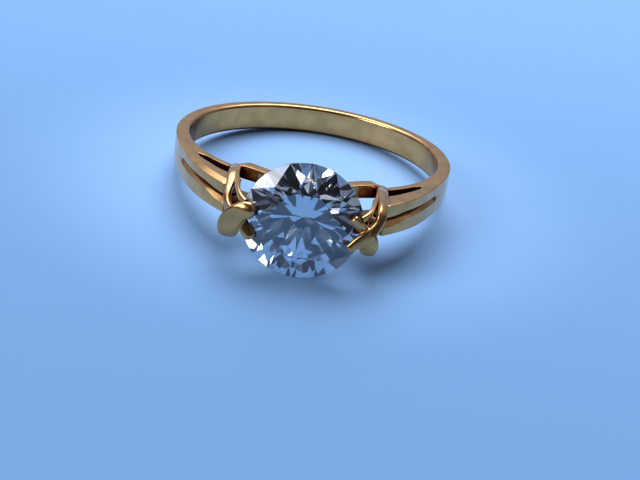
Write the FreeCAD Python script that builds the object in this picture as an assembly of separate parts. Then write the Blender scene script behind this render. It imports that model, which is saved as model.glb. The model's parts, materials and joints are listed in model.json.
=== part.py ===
import FreeCAD, Part
import math
import os

# Solitaire engagement ring, lying on its side: millimetres, +Z is the finger's axis, the origin is
# the centre of the finger hole, and the stone faces -Y. "left" is -X and "upper" is +Z.

# Finger hole and band
BORE_RADIUS = 8.65
BAND_THICKNESS = 0.87
BAND_WIDTH = 1.94
BORE_BEVEL = 0.12
BAND_EDGE_ROUND = 0.15
BAND_RADIUS = BORE_RADIUS + BAND_THICKNESS

# A slot opens between the band and each shoulder; the band is thinner along it
SLOT_TIP_ANGLE = 50.0
SLOT_INNER_RADIUS = 9.24

# The head spans this much of the band's circle each side of the stone
HEAD_HALF_ANGLE = 32.0
HEAD_HALF_WIDTH = BAND_RADIUS * math.sin(math.radians(HEAD_HALF_ANGLE))

# Gallery rails: the band's continuation under the stone, one each side of a gap for the culet
RAIL_GAP_MIDDLE = 0.40
RAIL_GAP_ENDS = 0.56
RAIL_TOP_MIDDLE = 1.18
RAIL_TOP_ARCH = 1.46
RAIL_TOP_ENDS = 1.14
RAIL_ARCH_X = 4.0

# Shoulder wires: two a side with a groove between them, leaving the band at a tangent on a larger arc.
# Bearings are degrees round the finger from the stone.
SHOULDER_RADIUS = 16.9
SHOULDER_TANGENT_ANGLE = 81.0
SHOULDER_TAIL_ANGLE = 97.0
WIRE_WIDTH = 1.03
WIRE_CREST_ROUND = 0.12
UPPER_WIRE_REACH = 4.95
LOWER_WIRE_REACH = 4.85
CROWN_AT_HEAD = 0.44
CROWN_MIDWAY = 0.16
CROWN_AT_TAIL = -0.05
WIRE_DEPTH = 0.45
WIRE_DEPTH_EXTRA_AT_HEAD = 0.52
WIRE_DEPTH_EXTRA_AT_BAND = 0.20
GROOVE_Z = 0.10
GROOVE_Z_AT_HEAD = -0.04
GROOVE_START_BEARING = 59.0
GROOVE_DEPTH = 0.20
GROOVE_DEPTH_AT_HEAD = 0.42
GROOVE_SHARE = 0.34

# Stone: a round brilliant, its axis along -Y
STONE_DIAMETER = 7.5
GIRDLE_DISTANCE = 13.1
GIRDLE_THICKNESS = 0.15
TABLE_RATIO = 0.58
CROWN_RATIO = 0.13
PAVILION_RATIO = 0.43
STAR_LENGTH = 0.52
LOWER_HALF_LENGTH = 0.78
STONE_TURN = 22.5 - 3.0

# Ribbons cross beside the stone and end as claws on its crown; posts stand behind the claws.
# Each station is x, y, z, the face's outward direction x, y, z, width and thickness.
STRIP_EDGE_ROUND = 0.12
CRUMB_VOLUME = 0.005
RIBBONS = {
    "ribbon_rail_right": [
        (4.80, -8.05, 1.18, 0.20, -0.10, 1.00, 0.72, 0.42),
        (4.80, -9.60, 1.20, 0.25, -0.05, 1.00, 0.70, 0.40),
        (4.82, -10.80, 1.20, 0.35, -0.05, 1.00, 0.66, 0.40),
        (4.82, -11.95, 1.16, 0.45, -0.15, 1.00, 0.64, 0.40),
        (4.79, -12.55, 0.92, 0.60, -0.85, 0.60, 0.64, 0.40),
        (4.70, -12.80, 0.52, 0.50, -1.00, 0.05, 0.66, 0.40),
        (4.50, -13.10, 0.20, 0.40, -1.00, 0.02, 0.72, 0.40),
        (4.16, -13.50, -0.14, 0.22, -1.00, 0.00, 0.76, 0.40),
        (3.74, -13.68, -0.50, 0.00, -1.00, 0.00, 0.76, 0.38),
        (3.34, -13.77, -0.84, -0.10, -1.00, -0.05, 0.66, 0.34),
        (3.12, -13.84, -1.00, -0.15, -1.00, -0.05, 0.52, 0.30),
    ],
    "ribbon_lobe_right": [
        (4.30, -8.05, -1.25, 0.00, 0.00, -1.00, 0.80, 0.40),
        (4.30, -10.00, -1.30, 0.00, 0.00, -1.00, 0.76, 0.40),
        (4.30, -11.60, -1.48, 0.00, -0.15, -1.00, 0.66, 0.40),
        (4.30, -12.50, -1.58, 0.00, -0.50, -0.90, 0.66, 0.40),
        (4.29, -12.95, -1.38, 0.05, -0.90, -0.45, 0.94, 0.40),
        (4.27, -13.22, -1.05, 0.15, -1.00, -0.15, 1.14, 0.40),
        (4.26, -13.38, -0.66, 0.22, -1.00, -0.05, 1.14, 0.40),
        (4.06, -13.36, -0.20, 0.15, -1.00, 0.00, 0.92, 0.38),
        (3.72, -13.38, 0.18, 0.00, -1.00, 0.05, 0.68, 0.36),
        (3.38, -13.58, 0.55, -0.05, -1.00, 0.12, 0.64, 0.34),
        (3.08, -13.73, 0.86, -0.15, -1.00, 0.20, 0.58, 0.30),
    ],
    "ribbon_rail_left": [
        (-4.80, -8.05, 1.23, -0.10, -0.25, 1.00, 0.68, 0.42),
        (-4.80, -9.60, 1.04, -0.10, -0.25, 1.00, 0.68, 0.40),
        (-4.82, -10.70, 0.80, -0.10, -0.30, 1.00, 0.60, 0.40),
        (-4.86, -11.40, 0.62, -0.30, -0.60, 0.80, 0.48, 0.40),
        (-4.84, -11.85, 0.34, -0.60, -0.90, 0.20, 0.46, 0.40),
        (-4.74, -12.25, 0.08, -0.55, -1.00, 0.00, 0.52, 0.40),
        (-4.50, -12.74, -0.10, -0.35, -1.00, 0.00, 0.64, 0.40),
        (-4.06, -13.20, -0.24, -0.18, -1.00, 0.00, 0.74, 0.40),
        (-3.62, -13.42, -0.62, 0.00, -1.00, 0.00, 0.80, 0.36),
        (-3.28, -13.58, -1.02, 0.10, -1.00, -0.05, 0.80, 0.34),
        (-3.11, -13.64, -1.22, 0.15, -1.00, -0.05, 0.72, 0.32),
    ],
    "ribbon_lobe_left": [
        (-4.45, -8.05, -1.25, 0.00, 0.00, -1.00, 0.90, 0.40),
        (-4.45, -10.00, -1.32, 0.00, 0.00, -1.00, 0.86, 0.40),
        (-4.46, -11.60, -1.55, 0.00, -0.15, -1.00, 0.80, 0.40),
        (-4.48, -12.50, -1.70, 0.00, -0.50, -0.90, 0.84, 0.40),
        (-4.49, -12.98, -1.46, -0.05, -0.90, -0.45, 1.16, 0.40),
        (-4.47, -13.24, -1.12, -0.12, -1.00, -0.15, 1.38, 0.40),
        (-4.42, -13.38, -0.68, -0.22, -1.00, -0.05, 1.42, 0.40),
        (-4.20, -13.50, -0.22, -0.22, -1.00, 0.00, 1.32, 0.40),
        (-3.88, -13.60, 0.14, -0.12, -1.00, 0.05, 1.22, 0.40),
        (-3.54, -13.70, 0.36, -0.05, -1.00, 0.15, 1.14, 0.38),
        (-3.28, -13.77, 0.42, 0.05, -1.00, 0.20, 1.06, 0.34),
    ],
}
CLAW_POSTS = {
    "claw_post_upper_": [
        (4.51, -8.05, 1.10, 1.00, 0.00, 0.00, 0.50, 0.34),
        (4.47, -9.60, 1.11, 1.00, 0.00, 0.00, 0.48, 0.32),
        (4.35, -10.80, 1.10, 1.00, -0.10, 0.00, 0.46, 0.30),
        (4.13, -12.30, 1.03, 1.00, -0.20, 0.00, 0.44, 0.28),
        (3.87, -13.05, 0.92, 0.90, -0.40, 0.10, 0.42, 0.28),
        (3.55, -13.50, 0.80, 0.70, -0.70, 0.20, 0.42, 0.28),
    ],
    "claw_post_lower_": [
        (4.38, -8.05, -0.74, 1.00, 0.00, 0.00, 0.50, 0.42),
        (4.36, -9.60, -0.72, 1.00, 0.00, 0.00, 0.50, 0.42),
        (4.22, -11.20, -0.63, 1.00, 0.00, 0.00, 0.50, 0.42),
        (4.04, -12.40, -0.52, 1.00, 0.00, 0.00, 0.50, 0.42),
        (3.97, -13.30, -0.52, 1.00, 0.00, 0.00, 0.50, 0.42),
    ],
}


def polar(radius, angle):
    """A point at this radius, angle in degrees measured from the stone's direction towards +X."""
    a = math.radians(angle)
    return FreeCAD.Vector(radius * math.sin(a), -radius * math.cos(a), 0)


def blend(value, low, high):
    """Smooth step from 0 at low to 1 at high."""
    t = min(1.0, max(0.0, (value - low) / (high - low)))
    return t * t * (3 - 2 * t)


def mirror_x(shape):
    return shape.mirror(FreeCAD.Vector(0, 0, 0), FreeCAD.Vector(1, 0, 0))


def mirror_z(shape):
    return shape.mirror(FreeCAD.Vector(0, 0, 0), FreeCAD.Vector(0, 0, 1))


# ---------------------------------------------------------------- band and gallery rails

def band_outline(r1):
    """Cross-section in the plane x = 0 on the stone's side: bevelled bore edges, rounded outer edges."""
    half, r0 = BAND_WIDTH / 2, BORE_RADIUS
    round_in = BAND_EDGE_ROUND * (1 - math.sqrt(0.5))

    def at(radius, z):
        return FreeCAD.Vector(0, -radius, z)

    def outer_corner(sign):
        points = [at(r1 - BAND_EDGE_ROUND, sign * half), at(r1 - round_in, sign * (half - round_in)),
                  at(r1, sign * (half - BAND_EDGE_ROUND))]
        return points if sign < 0 else points[::-1]

    low, high = outer_corner(-1), outer_corner(1)
    bore = [at(r0 + BORE_BEVEL, half), at(r0, half - BORE_BEVEL), at(r0, -half + BORE_BEVEL),
            at(r0 + BORE_BEVEL, -half)]
    corners = [high[2]] + bore + [low[0]]
    edges = [Part.Arc(*low).toShape(), Part.makeLine(low[2], high[0]), Part.Arc(*high).toShape()]
    edges += [Part.makeLine(a, b) for a, b in zip(corners, corners[1:])]
    return Part.Wire(edges)


def swept_round_finger(face, start, turn):
    """Solid made by turning a face about the finger's axis, from an angle off the stone's direction."""
    face.rotate(FreeCAD.Vector(0, 0, 0), FreeCAD.Vector(0, 0, 1), start)
    return face.revolve(FreeCAD.Vector(0, 0, 0), FreeCAD.Vector(0, 0, 1), turn)


def finger_band():
    """The plain band, open under the head and thinner along the slots."""
    plain = Part.Face(band_outline(BAND_RADIUS))
    band = swept_round_finger(plain, SLOT_TIP_ANGLE, 360 - 2 * SLOT_TIP_ANGLE)
    for start in (HEAD_HALF_ANGLE, 360 - SLOT_TIP_ANGLE):
        thin = Part.Face(band_outline(SLOT_INNER_RADIUS))
        band = band.fuse(swept_round_finger(thin, start, SLOT_TIP_ANGLE - HEAD_HALF_ANGLE))
    return band


def spline_edge(points):
    curve = Part.BSplineCurve()
    curve.interpolate([FreeCAD.Vector(*p) for p in points])
    return curve.toShape()


def gallery_rail_upper():
    """The band's continuation across the head, cut to an arched outline seen from the stone."""
    w, a = HEAD_HALF_WIDTH, RAIL_ARCH_X
    top = [(-w, 0, RAIL_TOP_ENDS), (-a, 0, RAIL_TOP_ARCH), (-a / 2, 0, RAIL_TOP_MIDDLE + 0.03),
           (0, 0, RAIL_TOP_MIDDLE), (a / 2, 0, RAIL_TOP_MIDDLE + 0.03), (a, 0, RAIL_TOP_ARCH),
           (w, 0, RAIL_TOP_ENDS)]
    low = [(w, 0, RAIL_GAP_ENDS), (a, 0, RAIL_GAP_ENDS), (0, 0, RAIL_GAP_MIDDLE),
           (-a, 0, RAIL_GAP_ENDS), (-w, 0, RAIL_GAP_ENDS)]
    right = Part.makeLine(FreeCAD.Vector(*top[-1]), FreeCAD.Vector(*low[0]))
    left = Part.makeLine(FreeCAD.Vector(*low[-1]), FreeCAD.Vector(*top[0]))
    outline = Part.Wire([spline_edge(top), right, spline_edge(low), left])
    block = Part.Face(outline).extrude(FreeCAD.Vector(0, -2 * BAND_RADIUS, 0))
    wall = Part.makePlane(BAND_THICKNESS, BAND_WIDTH, FreeCAD.Vector(0, -BAND_RADIUS, 0),
                          FreeCAD.Vector(1, 0, 0), FreeCAD.Vector(0, 1, 0))
    return swept_round_finger(wall, -HEAD_HALF_ANGLE, 2 * HEAD_HALF_ANGLE).common(block)


# ---------------------------------------------------------------- shoulder wires

def shoulder_frame(angle):
    """Point and outward direction on the shoulder's curve at this turn angle."""
    outward = polar(1, angle)
    if angle > SHOULDER_TANGENT_ANGLE:
        return outward * BAND_RADIUS, outward
    offset = SHOULDER_RADIUS - BAND_RADIUS
    centre = polar(1, SHOULDER_TANGENT_ANGLE) * -offset
    return centre + outward * SHOULDER_RADIUS, outward


def shoulder_head_angle(x):
    """Turn angle at which the shoulder's curve comes to this distance from the middle."""
    centre = polar(1, SHOULDER_TANGENT_ANGLE) * (BAND_RADIUS - SHOULDER_RADIUS)
    return math.degrees(math.asin((x - centre.x) / SHOULDER_RADIUS))


def wire_sizes(bearing):
    """Crown height and depth off the shoulder's curve, and width, at this bearing."""
    to_tail = blend(bearing, 62, 96)
    crown = CROWN_AT_HEAD + (CROWN_MIDWAY - CROWN_AT_HEAD) * blend(bearing, 34, 62)
    crown += (CROWN_AT_TAIL - CROWN_MIDWAY) * to_tail
    depth = WIRE_DEPTH + WIRE_DEPTH_EXTRA_AT_HEAD * (1 - blend(bearing, 27, 50))
    depth += WIRE_DEPTH_EXTRA_AT_BAND * blend(bearing, 49, 54)
    width = WIRE_WIDTH + (BAND_WIDTH / 2 - WIRE_WIDTH) * blend(bearing, 38, 60)
    return crown, depth, width


def wire_section(angle, side):
    """One wire's outline with z counted from the groove: flank, crown, rounded crest, flat sides."""
    point, outward = shoulder_frame(angle)
    bearing = math.degrees(math.atan2(point.x, -point.y))
    crown, depth, width = wire_sizes(bearing)
    start, head = 1 - blend(bearing, 54, 62), 1 - blend(bearing, 26, 36)
    middle = side * (GROOVE_Z + (GROOVE_Z_AT_HEAD - GROOVE_Z) * head)
    near_head = 1 - blend(bearing, 34, 54)
    groove = 0.01 + start * (GROOVE_DEPTH + (GROOVE_DEPTH_AT_HEAD - GROOVE_DEPTH) * near_head)
    heights = []
    for step in range(7):
        t = step / 6
        rise = math.sin(math.pi / 2 * min(1.0, t / GROOVE_SHARE))
        fall = max(0.0, 2 * t - 1) ** 2.5
        heights.append((middle + (width - middle) * t, crown - groove * (1 - rise) - WIRE_CREST_ROUND * fall))

    def place(z, height):
        return point + outward * height + FreeCAD.Vector(0, 0, z)

    crest = Part.BSplineCurve()
    crest.interpolate([place(z, height) for z, height in heights])
    flat = [place(*heights[-1]), place(width, -depth), place(middle, -depth), place(*heights[0])]
    return Part.Wire([crest.toShape()] + [Part.makeLine(a, b) for a, b in zip(flat, flat[1:])])


def shoulder_wire(head_x, side):
    """Right wire ending at head_x beside the ribbons; side is 1 for the upper one, -1 for the lower
    one, which is drawn upside down."""
    first = shoulder_head_angle(head_x)
    stations = [first + (SHOULDER_TANGENT_ANGLE - first) * i / 14 for i in range(15)]
    stations += [SHOULDER_TANGENT_ANGLE + (SHOULDER_TAIL_ANGLE - SHOULDER_TANGENT_ANGLE) * i / 4
                 for i in range(1, 5)]
    wire = Part.makeLoft([wire_section(a, side) for a in stations], True, False, False, 3)
    return wire.cut(Part.makeCylinder(BAND_RADIUS, 4, FreeCAD.Vector(0, 0, -2)))


# ---------------------------------------------------------------- ribbons and claw posts

def strip_section(centre, tangent, normal, width, thickness):
    """Rectangle with rounded corners, square to the strip's path."""
    side = tangent.cross(normal).normalize()
    normal = side.cross(tangent).normalize()
    w, h, r = width / 2, thickness / 2, STRIP_EDGE_ROUND
    inset = r * (1 - math.sqrt(0.5))

    def at(u, v):
        return centre + side * u + normal * v

    corners = []
    for su, sv in ((1, 1), (-1, 1), (-1, -1), (1, -1)):
        on_side, on_flat = at(su * w, sv * (h - r)), at(su * (w - r), sv * h)
        middle = at(su * (w - inset), sv * (h - inset))
        corners.append((on_side, middle, on_flat) if su == sv else (on_flat, middle, on_side))
    edges = []
    for i, corner in enumerate(corners):
        edges.append(Part.Arc(*corner).toShape())
        edges.append(Part.makeLine(corner[2], corners[(i + 1) % 4][0]))
    return Part.Wire(edges)


def strip(stations, count):
    """Solid strip along a smooth path through the stations."""
    points = [FreeCAD.Vector(*station[:3]) for station in stations]
    path = Part.BSplineCurve()
    path.interpolate(points)
    knots = [path.parameter(point) for point in points]
    sections = []
    for i in range(count):
        u = knots[0] + (knots[-1] - knots[0]) * i / (count - 1)
        k = min(len(knots) - 2, sum(1 for knot in knots[1:-1] if knot <= u))
        t = blend(u, knots[k], knots[k + 1])
        row = [a * (1 - t) + b * t for a, b in zip(stations[k], stations[k + 1])]
        tangent = FreeCAD.Vector(*path.tangent(u)[0])
        sections.append(strip_section(path.value(u), tangent, FreeCAD.Vector(*row[3:6]), row[6], row[7]))
    return Part.makeLoft(sections, True, False, False, 3)


def trimmed(shape, *tools):
    """What is left of a piece outside the tools it overlaps, without loose crumbs."""
    for tool in tools:
        if shape.common(tool).Volume > CRUMB_VOLUME:
            shape = shape.cut(tool)
    return max(shape.Solids, key=lambda solid: solid.Volume)


# ---------------------------------------------------------------- stone

def half_space_cut(solid, normal, point):
    """Remove everything beyond the plane through point."""
    normal = FreeCAD.Vector(normal).normalize()
    size = 4 * STONE_DIAMETER
    turn = FreeCAD.Rotation(FreeCAD.Vector(0, 0, 1), normal)
    box = Part.makeBox(size, size, size, FreeCAD.Vector(-size / 2, -size / 2, 0))
    box.Placement = FreeCAD.Placement(point, turn)
    return solid.cut(box)


def ring_point(radius, angle, height):
    a = math.radians(angle)
    return FreeCAD.Vector(radius * math.cos(a), radius * math.sin(a), height)


def plane_normal(a, b, c):
    normal = (b - a).cross(c - a)
    return normal if normal.dot(a) > 0 else normal * -1


def brilliant():
    """Round brilliant about +Z, girdle at z = 0, table up."""
    radius, half = STONE_DIAMETER / 2, GIRDLE_THICKNESS / 2
    table_z = half + CROWN_RATIO * STONE_DIAMETER
    table_r = TABLE_RATIO * radius
    culet = ring_point(0, 0, -half - PAVILION_RATIO * STONE_DIAMETER)
    slope = (table_z - half) / (radius - table_r)
    depth = -half - culet.z
    stone = Part.makeCylinder(radius, table_z - culet.z, culet)
    middle = math.cos(math.radians(22.5))
    star_r = table_r * middle + STAR_LENGTH * (radius - table_r * middle)
    star_z = half + slope * (radius - star_r * middle)
    low_r = radius * (1 - LOWER_HALF_LENGTH)
    low_z = -half - depth * (1 - low_r * middle / radius)
    for k in range(8):
        a = 45 * k
        crown_edge, keel_edge = ring_point(radius, a, half), ring_point(radius, a, -half)
        table_corner, next_corner = ring_point(table_r, a, table_z), ring_point(table_r, a + 45, table_z)
        star = ring_point(star_r, a + 22.5, star_z)
        keel = ring_point(low_r, a + 22.5, low_z)
        stone = half_space_cut(stone, ring_point(slope, a, 1), crown_edge)
        stone = half_space_cut(stone, plane_normal(table_corner, next_corner, star), star)
        stone = half_space_cut(stone, ring_point(depth, a, -radius), keel_edge)
        for side in (a, a + 45):
            rim, rim_mid = ring_point(radius, side, half), ring_point(radius, a + 22.5, half)
            stone = half_space_cut(stone, plane_normal(rim, rim_mid, star), star)
            rim, rim_mid = ring_point(radius, side, -half), ring_point(radius, a + 22.5, -half)
            stone = half_space_cut(stone, plane_normal(rim, rim_mid, keel), keel)
    return stone


def centre_stone():
    stone = brilliant()
    stone.rotate(FreeCAD.Vector(0, 0, 0), FreeCAD.Vector(0, 0, 1), STONE_TURN)
    stone.rotate(FreeCAD.Vector(0, 0, 0), FreeCAD.Vector(1, 0, 0), 90)
    stone.translate(FreeCAD.Vector(0, -GIRDLE_DISTANCE, 0))
    return stone


# ---------------------------------------------------------------- assembly

def side_nodes(side, over, under, wires, posts, core, stone):
    """Ribbons, wires and posts of one side, each trimmed where it meets a neighbour."""
    over_name, under_name = "ribbon_%s_%s" % (over, side), "ribbon_%s_%s" % (under, side)
    top = trimmed(strip(RIBBONS[over_name], 21), core, stone)
    bottom = trimmed(strip(RIBBONS[under_name], 21), core, stone, top)
    nodes = {over_name: top, under_name: bottom}
    place = mirror_x if side == "left" else (lambda shape: shape)
    bars = [trimmed(place(post), core, stone, top, bottom) for post in posts.values()]
    for name, bar in zip(posts, bars):
        nodes[name + side] = bar
    for name, wire in wires.items():
        nodes[name + side] = trimmed(place(wire), top, bottom, *bars)
    return nodes


def build():
    stone, rail = centre_stone(), gallery_rail_upper()
    nodes = {"finger_band": finger_band(), "centre_stone": stone,
             "gallery_rail_upper": rail, "gallery_rail_lower": mirror_z(rail)}
    core = Part.makeCylinder(BAND_RADIUS, 4, FreeCAD.Vector(0, 0, -2))
    wires = {"shoulder_wire_upper_": shoulder_wire(UPPER_WIRE_REACH, 1),
             "shoulder_wire_lower_": mirror_z(shoulder_wire(LOWER_WIRE_REACH, -1))}
    posts = {name: strip(stations, 11) for name, stations in CLAW_POSTS.items()}
    nodes.update(side_nodes("right", "rail", "lobe", wires, posts, core, stone))
    nodes.update(side_nodes("left", "lobe", "rail", wires, posts, core, stone))
    return nodes


def main():
    os.makedirs("parts", exist_ok=True)
    for name, shape in build().items():
        print(name, "solids", len(shape.Solids), "valid", shape.isValid(), "volume %.3f" % shape.Volume)
        shape.exportStep("parts/" + name + ".step")


main()
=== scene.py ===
import json
import math

import bmesh
import bpy
import numpy as np
from mathutils import Matrix, Quaternion, Vector


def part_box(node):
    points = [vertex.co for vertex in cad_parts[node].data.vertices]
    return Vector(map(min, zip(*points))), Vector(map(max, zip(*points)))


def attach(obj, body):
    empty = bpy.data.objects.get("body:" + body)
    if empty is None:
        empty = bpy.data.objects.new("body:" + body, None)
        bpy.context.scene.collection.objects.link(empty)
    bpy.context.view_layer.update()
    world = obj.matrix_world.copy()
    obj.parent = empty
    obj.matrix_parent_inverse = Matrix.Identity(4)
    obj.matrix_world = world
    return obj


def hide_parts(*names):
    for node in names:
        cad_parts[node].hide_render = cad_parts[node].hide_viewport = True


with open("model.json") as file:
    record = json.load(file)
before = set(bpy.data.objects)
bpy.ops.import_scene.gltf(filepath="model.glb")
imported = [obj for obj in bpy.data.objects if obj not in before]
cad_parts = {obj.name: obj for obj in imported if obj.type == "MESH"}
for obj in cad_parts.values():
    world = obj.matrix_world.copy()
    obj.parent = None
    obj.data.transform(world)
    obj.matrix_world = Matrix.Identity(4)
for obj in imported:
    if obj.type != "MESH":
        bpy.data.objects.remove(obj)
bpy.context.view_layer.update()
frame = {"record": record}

# Shapes are worked out in millimetres in the ring's frame and scaled to metres when a mesh is made.
# +Z is the finger's axis, the stone faces -Y, and "right" is +X, seen with the stone in front.
MM = 0.001


# ---------------------------------------------------------------- sizes read from the frame

def box_mm(node):
    low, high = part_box(node)
    return low / MM, high / MM


band_low, band_high = box_mm("finger_band")
stone_low, stone_high = box_mm("centre_stone")

BORE_RADIUS = frame["record"]["mounts"][0]["dims"]["r_mm"]
BAND_RADIUS = band_high.y
BAND_HALF = band_high.z
STONE_RADIUS = stone_high.x
GIRDLE_Y = -13.1
# half the opening under the head, in degrees round from the stone
HEAD_ANGLE = 32.0


# ---------------------------------------------------------------- helpers

def smooth(value, low, high):
    """Smooth step from 0 at low to 1 at high."""
    t = min(1.0, max(0.0, (value - low) / (high - low)))
    return t * t * (3 - 2 * t)


def ramp(value, change, low, high):
    """A change spread from low to high: none of it before low, all of it after high."""
    return change * smooth(value, low, high)


def fade(value, change, low, high):
    """The reverse of ramp: all of the change before low, none of it after high."""
    return change * (1 - smooth(value, low, high))


def polar(radius, angle, z=0.0):
    """A point at this radius, angle in degrees from the stone's direction towards +X."""
    a = math.radians(angle)
    return np.array((radius * math.sin(a), -radius * math.cos(a), z))


def unit(v):
    return v / np.linalg.norm(v)


# ---------------------------------------------------------------- meshes from rings of points

def make_object(name, vertices, faces, node_names, slot, material):
    """A smooth piece from vertices in mm, riding on the body and standing for the named CAD nodes."""
    mesh = bpy.data.meshes.new(name)
    mesh.from_pydata([tuple(v * MM) for v in vertices], [], faces)
    mesh.validate()
    bm = bmesh.new()
    bm.from_mesh(mesh)
    bmesh.ops.recalc_face_normals(bm, faces=bm.faces)
    bm.to_mesh(mesh)
    bm.free()
    mesh.polygons.foreach_set("use_smooth", [True] * len(mesh.polygons))
    piece = bpy.data.objects.new(name, mesh)
    bpy.context.scene.collection.objects.link(piece)
    piece.data.materials.append(material)
    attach(piece, "root")
    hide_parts(*node_names)
    return piece


def loft(rings):
    """Vertices and faces of a closed tube through rings of equal length, capped at both ends."""
    count = len(rings[0])
    vertices = [np.array(p, float) for ring in rings for p in ring]
    faces = []
    for i in range(len(rings) - 1):
        for j in range(count):
            k = (j + 1) % count
            faces.append((i * count + j, i * count + k, (i + 1) * count + k, (i + 1) * count + j))
    for first, ring in ((0, rings[0]), ((len(rings) - 1) * count, rings[-1])):
        centre = len(vertices)
        vertices.append(np.mean(ring, axis=0))
        for j in range(count):
            faces.append((centre, first + j, first + (j + 1) % count))
    return vertices, faces


def rounded_polygon(corners, radii, steps):
    """Closed outline with each corner rounded to its own radius."""
    points = []
    count = len(corners)
    for i, radius in enumerate(radii):
        corner = np.array(corners[i])
        before = unit(np.array(corners[i - 1]) - corner)
        after = unit(np.array(corners[(i + 1) % count]) - corner)
        half = math.acos(np.clip(before @ after, -1, 1)) / 2
        reach = radius / math.tan(half)
        centre = corner + unit(before + after) * radius / math.sin(half)
        start, end = corner + before * reach - centre, corner + after * reach - centre
        for step in range(steps + 1):
            t = step / steps
            points.append(tuple(centre + unit(start * (1 - t) + end * t) * radius))
    return points


def spline(knots, values, at):
    """Natural cubic spline through rows of values at knots, sampled at each number in at."""
    n, h = len(knots), np.diff(knots)
    system, right = np.eye(n), np.zeros_like(values)
    for i in range(1, n - 1):
        system[i, i - 1:i + 2] = h[i - 1], 2 * (h[i - 1] + h[i]), h[i]
        right[i] = 6 * ((values[i + 1] - values[i]) / h[i] - (values[i] - values[i - 1]) / h[i - 1])
    bend = np.linalg.solve(system, right)
    k = np.clip(np.searchsorted(knots, at, side="right") - 1, 0, n - 2)
    span = h[k][:, None]
    a = (knots[k + 1] - at)[:, None] / span
    b = 1 - a
    return (a * values[k] + b * values[k + 1]
            + ((a ** 3 - a) * bend[k] + (b ** 3 - b) * bend[k + 1]) * span ** 2 / 6)


CORNER_STEPS = 6
FACE_STEPS = 10
SIDE_STEPS = 3


def strip_outline(width, thickness, edge, crown):
    """(across, outward) loop: flat back, crowned face, rounded edges."""
    half_width, half_thickness = width / 2 - edge, thickness / 2 - edge
    corners = ((1, 1), (-1, 1), (-1, -1), (1, -1))

    def at(corner, angle):
        a = math.radians(angle)
        return np.array((corner[0] * half_width + edge * math.cos(a),
                         corner[1] * half_thickness + edge * math.sin(a)))

    points = []
    for index, corner in enumerate(corners):
        for step in range(CORNER_STEPS + 1):
            points.append(at(corner, 90 * index + 90 * step / CORNER_STEPS))
        start, end = points[-1], at(corners[(index + 1) % 4], 90 * index + 90)
        steps = FACE_STEPS if index % 2 == 0 else SIDE_STEPS
        for step in range(1, steps):
            points.append(start + (end - start) * step / steps)
    return [(u, v + (crown * (1 - (2 * u / width) ** 2) if v > 0 else 0)) for u, v in points]


STATION_STEP = 0.06
LEAST_RINGS = 8
TIP_RINGS = 9
TIP_NARROWING = 0.9
TIP_THINNING = 0.55
RIBBON_EDGE = 0.12
POST_EDGE = 0.11


def strip_rings(stations, edge, tip=0.0):
    """Rings of a strip along a spline; tip is how far its rounded end reaches. A station is x, y, z,
    face normal x, y, z, width, thickness and how far the middle of the face stands proud."""
    values = np.array(stations, float)
    lengths = np.linalg.norm(np.diff(values[:, :3], axis=0), axis=1)
    knots = np.concatenate(([0], np.cumsum(lengths)))
    at = np.linspace(0, knots[-1], max(LEAST_RINGS, int(knots[-1] / STATION_STEP)))
    rows = spline(knots, values, at)
    tangents = np.gradient(rows[:, :3], axis=0)

    def ring(row, tangent, slide=0.0, across=1.0, deep=1.0):
        tangent = unit(tangent)
        side = unit(np.cross(tangent, row[3:6]))
        normal = np.cross(side, tangent)
        centre = row[:3] + tangent * slide
        outline = strip_outline(row[6], row[7], edge, row[8])
        return [centre + side * u * across + normal * v * deep for u, v in outline]

    rings = [ring(row, tangent) for row, tangent in zip(rows, tangents)]
    if tip:
        for step in range(1, TIP_RINGS + 1):
            reach = math.sin(math.radians(90 * step / (TIP_RINGS + 0.5)))
            left = math.sqrt(1 - reach * reach)
            rings.append(ring(rows[-1], tangents[-1], tip * reach, left ** TIP_NARROWING,
                              left ** TIP_THINNING))
    return rings


def mirrored(stations):
    return [(-s[0], s[1], s[2], -s[3]) + tuple(s[4:]) for s in stations]


# ---------------------------------------------------------------- band

BORE_EDGE = 0.22
OUTER_EDGE = 0.13
SLOT_EDGE = 0.035
BAND_EDGE_STEPS = 9
BAND_RINGS = 300
# how far the band runs on under the gallery rails, in degrees
BAND_OVERLAP = 1.0
# the band is thinner as far round from the stone as SLOT_FULL, and whole again from SLOT_TIP
SLOT_FULL = 48.0
SLOT_TIP = 53.0
SLOT_INNER_RADIUS = 9.24
# where the outer edges go from sharp, under the wires, to rounded
EDGE_SPAN = (SLOT_TIP - 2, SLOT_TIP + 6)


def band_outer_radius(off):
    """The band is thinner under each shoulder wire, where the slot is."""
    whole = min(1.0, max(0.0, (off - SLOT_FULL) / (SLOT_TIP - SLOT_FULL)))
    return BAND_RADIUS - (BAND_RADIUS - SLOT_INNER_RADIUS) * (1 - whole)


def band_ring(angle):
    off = min(abs(angle), abs(360 - angle))
    outer, half = band_outer_radius(off), BAND_HALF
    edge = SLOT_EDGE + ramp(off, OUTER_EDGE - SLOT_EDGE, *EDGE_SPAN)
    corners = [(BORE_RADIUS, -half), (outer, -half), (outer, half), (BORE_RADIUS, half)]
    outline = rounded_polygon(corners, (BORE_EDGE, edge, edge, BORE_EDGE), BAND_EDGE_STEPS)
    return [polar(r, angle, z) for r, z in outline]


def make_band(material):
    angles = np.linspace(HEAD_ANGLE - BAND_OVERLAP, 360 + BAND_OVERLAP - HEAD_ANGLE, BAND_RINGS)
    return make_object("finger_band_polished", *loft([band_ring(a) for a in angles]), ["finger_band"],
                       "yellow_gold", material)


# ---------------------------------------------------------------- gallery rails

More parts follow.
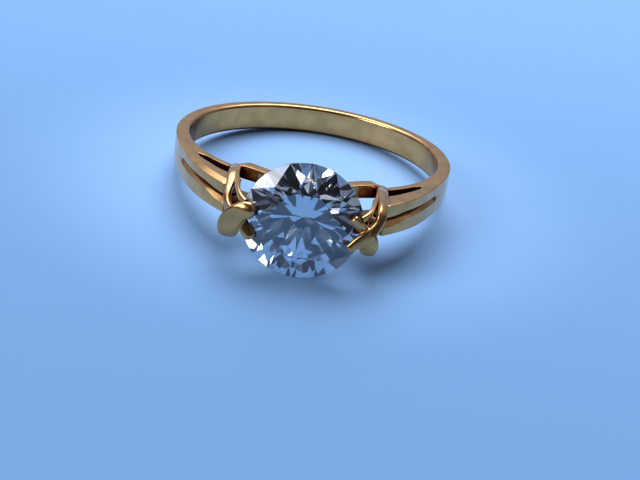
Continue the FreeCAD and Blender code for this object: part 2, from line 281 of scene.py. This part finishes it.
# each change is in mm, with the distances from the middle that it's spread over
RAIL_TOP_MIDDLE = 1.18
RAIL_TOP_RISE = (0.28, 0.8, 4.1)
RAIL_TOP_DROP = (0.34, 4.2, 5.2)
RAIL_GAP_MIDDLE = 0.40
RAIL_GAP_RISE = (0.16, 0.0, 4.0)
RAIL_EDGES = (0.05, 0.05, 0.03, 0.07)
# how far the rails run into the band, in degrees
RAIL_OVERLAP = 1.5
RAIL_RINGS = 90
RAIL_EDGE_STEPS = 5


def rail_top(x):
    """Height of the upper rail's top edge across the head."""
    return RAIL_TOP_MIDDLE + ramp(abs(x), *RAIL_TOP_RISE) - ramp(abs(x), *RAIL_TOP_DROP)


def rail_gap(x):
    """Height of the upper rail's lower edge: half the gap between the rails."""
    return RAIL_GAP_MIDDLE + ramp(abs(x), *RAIL_GAP_RISE)


def make_rail(name, side, material):
    rings = []
    for angle in np.linspace(-HEAD_ANGLE - RAIL_OVERLAP, HEAD_ANGLE + RAIL_OVERLAP, RAIL_RINGS):
        x = BAND_RADIUS * math.sin(math.radians(angle))
        low, high = rail_gap(x), rail_top(x)
        corners = [(BORE_RADIUS, low), (BAND_RADIUS, low), (BAND_RADIUS, high), (BORE_RADIUS, high)]
        outline = rounded_polygon(corners, RAIL_EDGES, RAIL_EDGE_STEPS)
        rings.append([polar(r, angle, z * side) for r, z in outline])
    return make_object(name + "_polished", *loft(rings), [name], "yellow_gold", material)


# ---------------------------------------------------------------- shoulder wires

# the shoulder's curve: a larger arc that leaves the band's circle at the tangent angle
SHOULDER_RADIUS = 16.9
SHOULDER_TANGENT = 81.0
SHOULDER_TAIL = 97.0


def shoulder_frame(angle):
    """Point and outward direction on the shoulder's curve at this turn angle."""
    outward = polar(1, angle)
    if angle > SHOULDER_TANGENT:
        return outward * BAND_RADIUS, outward
    centre = polar(1, SHOULDER_TANGENT) * (BAND_RADIUS - SHOULDER_RADIUS)
    return centre + outward * SHOULDER_RADIUS, outward


def shoulder_turn(x):
    """Turn angle at which the shoulder's curve comes to this distance from the middle."""
    centre = polar(1, SHOULDER_TANGENT) * (BAND_RADIUS - SHOULDER_RADIUS)
    return math.degrees(math.asin((x - centre[0]) / SHOULDER_RADIUS))


# A wire's measures change with its bearing, the angle round from the stone in degrees: about 25 at the
# ribbons, 53 at the slot's tip and 97 at its tail. Each change is in mm, with the bearings that it's
# spread over.
WIRE_WIDTH = 1.03
WIRE_PROUD = 0.003
WIRE_WIDENING = (38, 60)
CROWN = 0.44
CROWN_FALL = (0.28, 34, 62)
CROWN_TAIL_FALL = (0.16, 62, 96)
WIRE_DEPTH = 0.45
DEPTH_BY_SLOT = (0.20, 35, 50)
DEPTH_BY_RIBBON = (0.32, 27, 37)
DEPTH_ON_BAND = (0.20, 49, 54)
# the crest slopes down to the outer flank; on the upper left wire it falls further towards the head
CREST_RUN = 0.42
CREST_SLOPE = 0.10
CREST_SLOPE_LEFT = 0.42
CREST_SPAN = (32, 66)
# the groove is open from the ribbons to its start, and only a seam beyond
GROOVE_START = (56.5, 59)
GROOVE_HEAD = (26, 36)
GROOVE_HEIGHT = 0.16
GROOVE_DEPTH = 0.20
GROOVE_DEEPER = (0.22, 34, 54)
GROOVE_UP = 0.08
GROOVE_DOWN = 0.20
GROOVE_DOWN_AT_HEAD = 0.18
SEAM_DEPTH = 0.008
SEAM_UP = 0.14
SEAM_DOWN = 0.08
WIRE_EDGES = (0.015, 0.05, 0.04, 0.045, 0.06, 0.015)
WIRE_EDGE_STEPS = 7
WIRE_RINGS = 120
WIRE_TIP_RINGS = 8
WIRE_TIP_REACH = 0.28
WIRE_TIP_TAPER = 0.8
UPPER_WIRE_END = 4.95
LOWER_WIRE_END = 4.85


def crown_height(bearing):
    """How far the wire's outer face stands proud of the shoulder's curve."""
    return CROWN - ramp(bearing, *CROWN_FALL) - ramp(bearing, *CROWN_TAIL_FALL)


def wire_depth(bearing):
    """How far the wire reaches in from the shoulder's curve; it rises off the band to leave the slot."""
    return (WIRE_DEPTH + fade(bearing, *DEPTH_BY_SLOT) + fade(bearing, *DEPTH_BY_RIBBON)
            + ramp(bearing, *DEPTH_ON_BAND))


def groove(bearing):
    """Height of the groove's floor, its depth, and its reach upwards and downwards, in mm."""
    opened = fade(bearing, 1, *GROOVE_START)
    head = fade(bearing, 1, *GROOVE_HEAD)
    depth = SEAM_DEPTH + opened * (GROOVE_DEPTH + fade(bearing, *GROOVE_DEEPER))
    up = SEAM_UP + GROOVE_UP * opened
    down = SEAM_DOWN + GROOVE_DOWN * opened + GROOVE_DOWN_AT_HEAD * head
    return GROOVE_HEIGHT - GROOVE_HEIGHT * head, depth, up, down


def wire_ring(turn, side, crest, shrink=1.0):
    """A wire's section: groove flank, outer face, sloping crest, outer flank and flat underside."""
    point, outward = shoulder_frame(turn)
    bearing = math.degrees(math.atan2(point[0], -point[1]))
    crown, reach = crown_height(bearing), wire_depth(bearing)
    width = WIRE_WIDTH + ramp(bearing, BAND_HALF + WIRE_PROUD - WIRE_WIDTH, *WIRE_WIDENING)
    middle, depth, up, down = groove(bearing)
    middle *= side
    flank = up if side > 0 else down
    slope = CREST_SLOPE + fade(bearing, crest - CREST_SLOPE, *CREST_SPAN)
    corners = [(middle, crown - depth), (middle + flank, crown), (width - CREST_RUN * slope, crown),
               (width, crown - slope), (width, -reach), (middle, -reach)]
    outline = rounded_polygon(corners, WIRE_EDGES, WIRE_EDGE_STEPS)
    centre = ((width + middle) / 2, (crown - reach) / 2)
    return [point + outward * (centre[1] + (h - centre[1]) * shrink)
            + np.array((0, 0, side * (centre[0] + (z - centre[0]) * shrink))) for z, h in outline]


def make_wire(name, head_x, side, mirror, material):
    """A wire from its rounded end beside the ribbons to its tail on the band."""
    first = shoulder_turn(head_x)
    crest = CREST_SLOPE_LEFT if mirror and side > 0 else CREST_SLOPE
    _, outward = shoulder_frame(first)
    along = np.cross(outward, (0, 0, 1))
    rings = []
    for step in range(WIRE_TIP_RINGS, 0, -1):
        s = math.sin(math.radians(90 * step / (WIRE_TIP_RINGS + 0.3)))
        ring = wire_ring(first, side, crest, math.sqrt(1 - s * s) ** WIRE_TIP_TAPER)
        rings.append([p + along * WIRE_TIP_REACH * s for p in ring])
    for turn in np.linspace(first, SHOULDER_TAIL, WIRE_RINGS):
        rings.append(wire_ring(turn, side, crest))
    if mirror:
        rings = [[p * np.array((-1, 1, 1)) for p in ring] for ring in rings]
    return make_object(name + "_polished", *loft(rings), [name], "yellow_gold", material)


# ---------------------------------------------------------------- ribbons and claw posts

# On the right the ribbon from the upper rail lies over the one from the lower rail; on the left, under.
RIBBON_RAIL_RIGHT = [
    (4.80, -8.05, 0.98, 0.20, 0.10, 1, 0.72, 0.42, 0.06),
    (4.80, -9.60, 1.20, 0.25, -0.05, 1, 0.70, 0.40, 0.06),
    (4.82, -10.80, 1.20, 0.35, -0.05, 1, 0.66, 0.40, 0.04),
    (4.82, -11.95, 1.16, 0.45, -0.15, 1, 0.64, 0.40, 0.03),
    (4.79, -12.55, 0.92, 0.60, -0.85, 0.60, 0.64, 0.40, 0.03),
    (4.70, -12.80, 0.52, 0.50, -1, 0.05, 0.66, 0.40, 0.03),
    (4.50, -13.10, 0.20, 0.40, -1, 0.02, 0.72, 0.40, 0.03),
    (4.16, -13.50, -0.14, 0.22, -1, 0.00, 0.76, 0.40, 0.03),
    (3.74, -13.68, -0.50, 0.00, -1, 0.00, 0.76, 0.38, 0.03),
    (3.34, -13.77, -0.84, -0.10, -1, -0.05, 0.66, 0.34, 0.03),
    (3.12, -13.84, -1.00, -0.15, -1, -0.05, 0.52, 0.30, 0.02),
]
RIBBON_LOBE_RIGHT = [
    (4.30, -8.05, -1.25, 0.00, 0.00, -1, 0.80, 0.40, 0.03),
    (4.30, -10.00, -1.30, 0.00, 0.00, -1, 0.76, 0.40, 0.03),
    (4.30, -11.60, -1.48, 0.00, -0.15, -1, 0.66, 0.40, 0.03),
    (4.30, -12.50, -1.58, 0.00, -0.50, -0.90, 0.66, 0.40, 0.05),
    (4.29, -12.95, -1.38, 0.05, -0.90, -0.45, 0.94, 0.40, 0.06),
    (4.27, -13.22, -1.05, 0.15, -1, -0.15, 1.14, 0.40, 0.07),
    (4.26, -13.38, -0.66, 0.22, -1, -0.05, 1.14, 0.40, 0.06),
    (4.06, -13.36, -0.20, 0.15, -1, 0.00, 0.92, 0.38, 0.02),
    (3.72, -13.38, 0.18, 0.00, -1, 0.05, 0.68, 0.36, 0.06),
    (3.38, -13.58, 0.55, -0.05, -1, 0.12, 0.64, 0.34, 0.11),
    (3.08, -13.73, 0.86, -0.15, -1, 0.20, 0.58, 0.30, 0.10),
]
RIBBON_RAIL_LEFT = [
    (-4.80, -8.05, 0.98, -0.10, 0.05, 1, 0.68, 0.42, 0.06),
    (-4.80, -9.60, 1.06, -0.10, -0.20, 1, 0.68, 0.40, 0.06),
    (-4.82, -10.70, 0.80, -0.10, -0.30, 1, 0.60, 0.40, 0.06),
    (-4.86, -11.40, 0.62, -0.30, -0.60, 0.80, 0.48, 0.40, 0.04),
    (-4.84, -11.85, 0.34, -0.60, -0.90, 0.20, 0.46, 0.40, 0.02),
    (-4.74, -12.25, 0.08, -0.55, -1, 0.00, 0.52, 0.40, 0.02),
    (-4.50, -12.74, -0.10, -0.35, -1, 0.00, 0.64, 0.40, 0.02),
    (-4.06, -13.20, -0.24, -0.18, -1, 0.00, 0.74, 0.40, 0.04),
    (-3.62, -13.42, -0.62, 0.00, -1, 0.00, 0.80, 0.36, 0.05),
    (-3.28, -13.58, -1.02, 0.10, -1, -0.05, 0.80, 0.34, 0.06),
    (-3.11, -13.64, -1.22, 0.15, -1, -0.05, 0.72, 0.32, 0.06),
]
RIBBON_LOBE_LEFT = [
    (-4.45, -8.05, -1.25, 0.00, 0.00, -1, 0.90, 0.40, 0.03),
    (-4.45, -10.00, -1.32, 0.00, 0.00, -1, 0.86, 0.40, 0.03),
    (-4.46, -11.60, -1.55, 0.00, -0.15, -1, 0.80, 0.40, 0.03),
    (-4.48, -12.50, -1.70, 0.00, -0.50, -0.90, 0.84, 0.40, 0.05),
    (-4.49, -12.98, -1.46, -0.05, -0.90, -0.45, 1.16, 0.40, 0.06),
    (-4.47, -13.24, -1.12, -0.12, -1, -0.15, 1.38, 0.40, 0.07),
    (-4.42, -13.38, -0.68, -0.22, -1, -0.05, 1.42, 0.40, 0.06),
    (-4.20, -13.50, -0.22, -0.22, -1, 0.00, 1.32, 0.40, 0.06),
    (-3.88, -13.60, 0.14, -0.12, -1, 0.05, 1.22, 0.40, 0.12),
    (-3.54, -13.70, 0.36, -0.05, -1, 0.15, 1.14, 0.38, 0.20),
    (-3.28, -13.77, 0.42, 0.05, -1, 0.20, 1.06, 0.34, 0.22),
]
CLAW_POST_UPPER = [
    (4.56, -8.05, 1.10, 1, 0, 0, 0.50, 0.34, 0.02),
    (4.52, -9.60, 1.11, 1, 0, 0, 0.48, 0.32, 0.02),
    (4.40, -10.80, 1.10, 1, -0.10, 0, 0.46, 0.30, 0.02),
    (4.18, -12.30, 1.03, 1, -0.20, 0, 0.44, 0.28, 0.02),
    (3.92, -13.05, 0.92, 0.9, -0.4, 0.1, 0.42, 0.28, 0.02),
    (3.60, -13.50, 0.80, 0.7, -0.7, 0.2, 0.42, 0.28, 0.02),
]
CLAW_POST_LOWER = [
    (4.38, -8.35, -0.74, 1, 0, 0, 0.50, 0.42, 0.02),
    (4.36, -9.60, -0.72, 1, 0, 0, 0.50, 0.42, 0.02),
    (4.22, -11.20, -0.63, 1, 0, 0, 0.50, 0.42, 0.02),
    (4.04, -12.40, -0.52, 1, 0, 0, 0.50, 0.42, 0.02),
    (3.97, -13.30, -0.52, 1, 0, 0, 0.50, 0.42, 0.02),
]
# each ribbon's node, its stations and how far its rounded end reaches
CROSSINGS = {
    "crossed_ribbons_right": (("ribbon_rail_right", RIBBON_RAIL_RIGHT, 0.20),
                              ("ribbon_lobe_right", RIBBON_LOBE_RIGHT, 0.10)),
    "crossed_ribbons_left": (("ribbon_rail_left", RIBBON_RAIL_LEFT, 0.30),
                             ("ribbon_lobe_left", RIBBON_LOBE_LEFT, 0.36)),
}
VOXEL = 0.04
MELT_ROUNDS = 10
MELT_FACTOR = 0.5


def make_crossing(name, strips, material):
    """Two ribbons melted into one casting where they cross."""
    vertices, faces = [], []
    for _, stations, tip in strips:
        more, sides = loft(strip_rings(stations, RIBBON_EDGE, tip))
        faces += [tuple(i + len(vertices) for i in side) for side in sides]
        vertices += more
    # the voxels are finer than the remesher's least size in metres, so it works in millimetres
    rough = bpy.data.meshes.new(name + "_rough")
    rough.from_pydata([tuple(v) for v in vertices], [], faces)
    carrier = bpy.data.objects.new(name + "_rough", rough)
    bpy.context.scene.collection.objects.link(carrier)
    remesh = carrier.modifiers.new("voxels", "REMESH")
    remesh.mode, remesh.voxel_size = "VOXEL", VOXEL
    melt = carrier.modifiers.new("melt", "SMOOTH")
    melt.factor, melt.iterations = MELT_FACTOR, MELT_ROUNDS
    shape = carrier.evaluated_get(bpy.context.evaluated_depsgraph_get()).to_mesh()
    vertices = [np.array(v.co) for v in shape.vertices]
    faces = [tuple(f.vertices) for f in shape.polygons]
    bpy.data.objects.remove(carrier)
    return make_object(name, vertices, faces, [strip[0] for strip in strips], "yellow_gold", material)


def make_post(name, stations, material):
    rings = strip_rings(stations, POST_EDGE)
    return make_object(name + "_polished", *loft(rings), [name], "yellow_gold", material)


# ---------------------------------------------------------------- stone

STONE_DIAMETER = 7.5
GIRDLE_HALF = 0.075
TABLE_RATIO = 0.58
CROWN_HEIGHT = 0.13 * STONE_DIAMETER
PAVILION_DEPTH = 0.455 * STONE_DIAMETER
# how far the star facets reach from the table to the girdle, and the lower halves from girdle to culet
STAR_LENGTH = 0.52
LOWER_HALF_LENGTH = 0.78
FACET_STEP = 45.0
BLANK_SIDES = 96
# a table corner is turned this far from straight up
STONE_TURN = FACET_STEP / 2 - 3
CUT_SLACK = 1e-6
WELD_DISTANCE = 1e-5


def make_stone(material):
    """Round brilliant cut from a round blank, one plane per facet. It's cut table up, then turned."""
    radius = STONE_RADIUS
    table_z, table_r = GIRDLE_HALF + CROWN_HEIGHT, TABLE_RATIO * radius
    culet_z = -GIRDLE_HALF - PAVILION_DEPTH
    bm = bmesh.new()
    bmesh.ops.create_cone(bm, cap_ends=True, segments=BLANK_SIDES, radius1=radius, radius2=radius,
                          depth=table_z - culet_z,
                          matrix=Matrix.Translation((0, 0, (table_z + culet_z) / 2)))

    def cut(point, normal):
        """Remove what lies beyond the plane through point."""
        normal = Vector(normal).normalized()
        if normal.dot(Vector(point)) < 0:
            normal.negate()
        geometry = bm.verts[:] + bm.edges[:] + bm.faces[:]
        made = bmesh.ops.bisect_plane(bm, geom=geometry, dist=CUT_SLACK, plane_co=point, plane_no=normal,
                                      clear_outer=True)
        edges = [e for e in made["geom_cut"] if isinstance(e, bmesh.types.BMEdge)]
        bmesh.ops.contextual_create(bm, geom=edges)

    def at(r, angle, z):
        a = math.radians(angle)
        return Vector((r * math.cos(a), r * math.sin(a), z))

    slope = CROWN_HEIGHT / (radius - table_r)
    middle = math.cos(math.radians(FACET_STEP / 2))
    star_r = table_r * middle + STAR_LENGTH * (radius - table_r * middle)
    star_z = GIRDLE_HALF + slope * (radius - star_r * middle)
    low_r = radius * (1 - LOWER_HALF_LENGTH)
    low_z = -GIRDLE_HALF - PAVILION_DEPTH * (1 - low_r * middle / radius)
    for k in range(8):
        a = FACET_STEP * k
        between, following = a + FACET_STEP / 2, a + FACET_STEP
        cut(at(radius, a, GIRDLE_HALF), at(slope, a, 1))
        cut(at(radius, a, -GIRDLE_HALF), at(PAVILION_DEPTH, a, -radius))
        star, keel = at(star_r, between, star_z), at(low_r, between, low_z)
        first, second = at(table_r, a, table_z), at(table_r, following, table_z)
        cut(star, (second - first).cross(star - first))
        for side in (a, following):
            for level, tip in ((GIRDLE_HALF, star), (-GIRDLE_HALF, keel)):
                rim, rim_mid = at(radius, side, level), at(radius, between, level)
                cut(tip, (rim_mid - rim).cross(tip - rim))
    turn = Matrix.Rotation(math.radians(90), 4, "X") @ Matrix.Rotation(math.radians(STONE_TURN), 4, "Z")
    bm.transform(Matrix.Translation((0, GIRDLE_Y, 0)) @ turn)
    bmesh.ops.dissolve_degenerate(bm, dist=WELD_DISTANCE, edges=bm.edges)
    bmesh.ops.recalc_face_normals(bm, faces=bm.faces)
    bmesh.ops.scale(bm, vec=(MM, MM, MM), verts=bm.verts)
    mesh = bpy.data.meshes.new("brilliant")
    bm.to_mesh(mesh)
    bm.free()
    stone = bpy.data.objects.new("brilliant", mesh)
    bpy.context.scene.collection.objects.link(stone)
    mesh.materials.append(material)
    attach(stone, "root")
    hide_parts("centre_stone")
    return stone


# ---------------------------------------------------------------- materials

def new_material(name):
    material = bpy.data.materials.new(name)
    material.use_nodes = True
    return material, material.node_tree.nodes["Principled BSDF"]


def add_node(owner, kind, **settings):
    """A node in a material's or a world's tree."""
    node = owner.node_tree.nodes.new(kind)
    for name, value in settings.items():
        setattr(node, name, value)
    return node


def noise(material, scale, detail, stretch=(1, 1, 1)):
    """Noise over the part's own surface; scale counts features per millimetre."""
    where = add_node(material, "ShaderNodeTexCoord")
    mapping = add_node(material, "ShaderNodeMapping")
    mapping.inputs["Scale"].default_value = stretch
    texture = add_node(material, "ShaderNodeTexNoise")
    texture.inputs["Scale"].default_value = scale / MM
    texture.inputs["Detail"].default_value = detail
    links = material.node_tree.links
    links.new(where.outputs["Object"], mapping.inputs["Vector"])
    links.new(mapping.outputs["Vector"], texture.inputs["Vector"])
    return texture.outputs["Fac"]


def remap(owner, value, low, high, new_low, new_high):
    node = add_node(owner, "ShaderNodeMapRange", interpolation_type="SMOOTHSTEP")
    for name, number in zip(("From Min", "From Max", "To Min", "To Max"), (low, high, new_low, new_high)):
        node.inputs[name].default_value = number
    owner.node_tree.links.new(value, node.inputs["Value"])
    return node.outputs["Result"]


def blend(material, factor, first, second):
    node = add_node(material, "ShaderNodeMix", data_type="RGBA")
    links = material.node_tree.links
    links.new(factor, node.inputs["Factor"])
    for socket, colour in ((node.inputs["A"], first), (node.inputs["B"], second)):
        if isinstance(colour, tuple):
            socket.default_value = colour
        else:
            links.new(colour, socket)
    return node.outputs["Result"]


def add_bump(material, shader, height, strength, distance):
    """Bump on a shader; distance is the height's full range in mm."""
    bump = add_node(material, "ShaderNodeBump")
    bump.inputs["Strength"].default_value = strength
    bump.inputs["Distance"].default_value = distance * MM
    links = material.node_tree.links
    links.new(height, bump.inputs["Height"])
    links.new(bump.outputs["Normal"], shader.inputs["Normal"])


# noises are scale, detail and stretch; bumps are strength and depth in mm
PATCH_SPAN = (0.35, 0.7)
SCRATCH_SPAN = (0.3, 0.7)
GOLD = (0.79, 0.41, 0.145, 1)
GOLD_WORN = (0.62, 0.325, 0.12, 1)
# painted shade: the red-brown colour painted into gaps and hollows
GOLD_PAINTED_SHADE = (0.14, 0.015, 0.002, 1)
GOLD_METALLIC = 0.9
GOLD_ROUGHNESS = (0.10, 0.19)
GOLD_PATCHES = (0.9, 3.0)
GOLD_SCRATCHES = (6.0, 4.0, (1, 0.12, 2.5))
GOLD_BUMP = (0.12, 0.004)
# how open a spot is, from deep in a gap to fully in the open, judged as far off as this many mm; the less
# open a spot, the more painted red-brown shade it gets
PAINTED_SHADE_SPAN = (0.38, 0.72)
OPEN_DISTANCE = 3.0
OPEN_SAMPLES = 8


def gold_material():
    """Polished yellow gold: uneven gloss, fine scratches, and painted red-brown shade and reflection in
    gaps and hollows, where gold mirrors gold.
    """
    m, shader = new_material("gold")
    links = m.node_tree.links
    shader.inputs["Metallic"].default_value = GOLD_METALLIC
    patches = noise(m, *GOLD_PATCHES)
    scratches = noise(m, *GOLD_SCRATCHES)
    occlusion = add_node(m, "ShaderNodeAmbientOcclusion", samples=OPEN_SAMPLES)
    occlusion.inputs["Distance"].default_value = OPEN_DISTANCE * MM
    surface = blend(m, remap(m, patches, *PATCH_SPAN, 0, 1), GOLD, GOLD_WORN)
    # painted shade and reflection: the base colour turns red-brown where a spot is hemmed in by other
    # gold
    unshaded_share = remap(m, occlusion.outputs["AO"], *PAINTED_SHADE_SPAN, 0, 1)
    links.new(blend(m, unshaded_share, GOLD_PAINTED_SHADE, surface), shader.inputs["Base Color"])
    links.new(remap(m, scratches, *SCRATCH_SPAN, *GOLD_ROUGHNESS), shader.inputs["Roughness"])
    add_bump(m, shader, scratches, *GOLD_BUMP)
    return m


STONE_CLEAR = (0.93, 0.97, 1.0, 1)
STONE_MILKY = (0.82, 0.90, 1.0, 1)
STONE_IOR = 2.417
STONE_TRANSMISSION = (0.995, 0.965)
STONE_ROUGHNESS = (0.0, 0.01)
STONE_HAZE = (0.55, 3.0)
STONE_MARKS = (5.0, 2.0, (1, 0.3, 1))
STONE_BUMP = (0.04, 0.001)


def stone_material():
    """Clear stone with a faint uneven haze and polishing marks."""
    m, shader = new_material("stone")
    links = m.node_tree.links
    shader.inputs["IOR"].default_value = STONE_IOR
    haze = noise(m, *STONE_HAZE)
    marks = noise(m, *STONE_MARKS)
    tint = blend(m, remap(m, haze, *PATCH_SPAN, 0, 1), STONE_CLEAR, STONE_MILKY)
    links.new(tint, shader.inputs["Base Color"])
    links.new(remap(m, haze, *PATCH_SPAN, *STONE_TRANSMISSION), shader.inputs["Transmission Weight"])
    links.new(remap(m, marks, *SCRATCH_SPAN, *STONE_ROUGHNESS), shader.inputs["Roughness"])
    add_bump(m, shader, marks, *STONE_BUMP)
    return m


# ---------------------------------------------------------------- camera, floor and light

CAMERA_AIM = Vector((1.39, -2.05, -5.29)) * MM
CAMERA_DISTANCE = 104.4 * MM
CAMERA_AZIMUTH = -0.75
CAMERA_ELEVATION = 20.95
CAMERA_ROLL = 8.87
CAMERA_LENS = 84.4
CAMERA_SENSOR = 36.0
CAMERA_CLIP = (0.001, 10.0)


def direction(azimuth, elevation):
    """Unit vector towards a point in the room: azimuth 0 is in front of the stone, 90 to the right."""
    a, e = math.radians(azimuth), math.radians(elevation)
    return Vector((math.sin(a) * math.cos(e), -math.cos(a) * math.cos(e), math.sin(e)))


def make_camera():
    data = bpy.data.cameras.new("camera")
    data.lens = CAMERA_LENS
    data.sensor_width = CAMERA_SENSOR
    data.clip_start, data.clip_end = CAMERA_CLIP
    camera = bpy.data.objects.new("camera", data)
    bpy.context.scene.collection.objects.link(camera)
    back = direction(CAMERA_AZIMUTH, CAMERA_ELEVATION)
    camera.rotation_mode = "QUATERNION"
    camera.location = CAMERA_AIM + back * CAMERA_DISTANCE
    roll = Quaternion((0, 0, 1), math.radians(CAMERA_ROLL))
    camera.rotation_quaternion = (-back).to_track_quat("-Z", "Y") @ roll
    bpy.context.scene.camera = camera


# painted shade: the floor colour near the camera is darker than at the back
FLOOR_NEAR_PAINTED_SHADE = (0.16, 0.315, 0.53, 1)
FLOOR_FAR = (0.255, 0.485, 0.80, 1)
# painted pool of light: the floor colour round the ring
FLOOR_PAINTED_LIGHT_POOL = (0.33, 0.56, 0.86, 1)
FLOOR_ROUGHNESS = 0.8
# where the back of the band touches the floor, in mm
BACK_CONTACT_Y = 9.4
# the rest of the floor's measures are in metres
FLOOR_HALF_SIZE = 0.6
FLOOR_DROP = 1e-5
FLOOR_SHADE_SPAN = (-0.04, 0.07)
PAINTED_POOL_SPAN = (0.004, 0.024)


def floor_material():
    """Pale blue, with painted shade that makes it darker towards the camera, and a painted pool of light
    round the ring.
    """
    m, shader = new_material("floor")
    links = m.node_tree.links
    shader.inputs["Roughness"].default_value = FLOOR_ROUGHNESS
    where = add_node(m, "ShaderNodeTexCoord")
    split = add_node(m, "ShaderNodeSeparateXYZ")
    links.new(where.outputs["Object"], split.inputs["Vector"])
    # painted shade: the colour darkens towards the camera
    depth = remap(m, split.outputs["Y"], *FLOOR_SHADE_SPAN, 0, 1)
    away = add_node(m, "ShaderNodeVectorMath", operation="LENGTH")
    links.new(where.outputs["Object"], away.inputs[0])
    # painted pool of light: the floor colour is lighter close round the ring
    pool = remap(m, away.outputs["Value"], *PAINTED_POOL_SPAN, 1, 0)
    plain = blend(m, depth, FLOOR_NEAR_PAINTED_SHADE, FLOOR_FAR)
    links.new(blend(m, pool, plain, FLOOR_PAINTED_LIGHT_POOL), shader.inputs["Base Color"])
    return m


def make_floor():
    """The surface the ring lies on: it touches the girdle's lowest point and the back of the band."""
    front = Vector((0, GIRDLE_Y, stone_low.z)) * MM
    rear = Vector((0, BACK_CONTACT_Y, band_low.z)) * MM
    across, along = Vector((1, 0, 0)), (rear - front).normalized()
    start = front - across.cross(along) * FLOOR_DROP
    corners = [start + across * u * FLOOR_HALF_SIZE + along * v * FLOOR_HALF_SIZE
               for u, v in ((-1, -1), (1, -1), (1, 1), (-1, 1))]
    mesh = bpy.data.meshes.new("floor")
    mesh.from_pydata(corners, [], [(0, 1, 2, 3)])
    floor = bpy.data.objects.new("floor", mesh)
    bpy.context.scene.collection.objects.link(floor)
    mesh.materials.append(floor_material())


# azimuth, elevation, inner and outer angle in degrees, strength, colour. A lamp stands high behind
# the ring in a soft glow, with two more lamps to the left and a warm glow to the right. The room is
# darker in front and low at the sides, never below black.
LOBES = [
    (-174, 64, 5, 34, 5.0, (0.88, 0.98, 1.20)),
    (-160, 60, 20, 62, 0.28, (0.85, 0.98, 1.25)),
    (-94, 47, 5, 20, 1.3, (0.90, 1.0, 1.15)),
    (-58, 27, 8, 19, 6.0, (0.95, 1.0, 1.1)),
    (180, 16, 15, 65, 0.13, (0.75, 0.90, 0.95)),
    (0, 30, 24, 52, -0.098, (1.0, 1.2, 1.8)),
    (-78, 10, 6, 26, -0.08, (1.0, 1.2, 1.8)),
    (78, 12, 6, 28, -0.08, (1.0, 1.2, 1.8)),
    (115, 56, 8, 36, 0.16, (1.0, 0.75, 0.45)),
]
BASE = (0.10, 0.12, 0.18)


def make_world():
    """The room's light: a dim base with each lobe fading out from its own direction."""
    world = bpy.data.worlds.new("room")
    bpy.context.scene.world = world
    world.use_nodes = True
    links = world.node_tree.links
    background = world.node_tree.nodes["Background"]
    where = add_node(world, "ShaderNodeTexCoord")
    total = None
    for azimuth, elevation, inner, outer, strength, colour in LOBES:
        dot = add_node(world, "ShaderNodeVectorMath", operation="DOT_PRODUCT")
        dot.inputs[1].default_value = direction(azimuth, elevation)
        links.new(where.outputs["Generated"], dot.inputs[0])
        fall = remap(world, dot.outputs["Value"], math.cos(math.radians(outer)),
                     math.cos(math.radians(inner)), 0, 1)
        tint = add_node(world, "ShaderNodeVectorMath", operation="SCALE")
        tint.inputs[0].default_value = [c * strength for c in colour]
        links.new(fall, tint.inputs["Scale"])
        add = add_node(world, "ShaderNodeVectorMath", operation="ADD")
        if total is None:
            add.inputs[1].default_value = BASE
        else:
            links.new(total, add.inputs[1])
        links.new(tint.outputs["Vector"], add.inputs[0])
        total = add.outputs["Vector"]
    links.new(total, background.inputs["Color"])


# ---------------------------------------------------------------- everything

def build():
    gold, clear = gold_material(), stone_material()
    make_band(gold)
    make_rail("gallery_rail_upper", 1, gold)
    make_rail("gallery_rail_lower", -1, gold)
    for name, mirror in (("right", False), ("left", True)):
        make_wire("shoulder_wire_upper_" + name, UPPER_WIRE_END, 1, mirror, gold)
        make_wire("shoulder_wire_lower_" + name, LOWER_WIRE_END, -1, mirror, gold)
    for level, stations in (("upper", CLAW_POST_UPPER), ("lower", CLAW_POST_LOWER)):
        make_post("claw_post_" + level + "_right", stations, gold)
        make_post("claw_post_" + level + "_left", mirrored(stations), gold)
    for name, strips in CROSSINGS.items():
        make_crossing(name, strips, gold)
    make_stone(clear)


make_camera()
build()
make_floor()
make_world()
bpy.context.scene.view_settings.view_transform = "Standard"
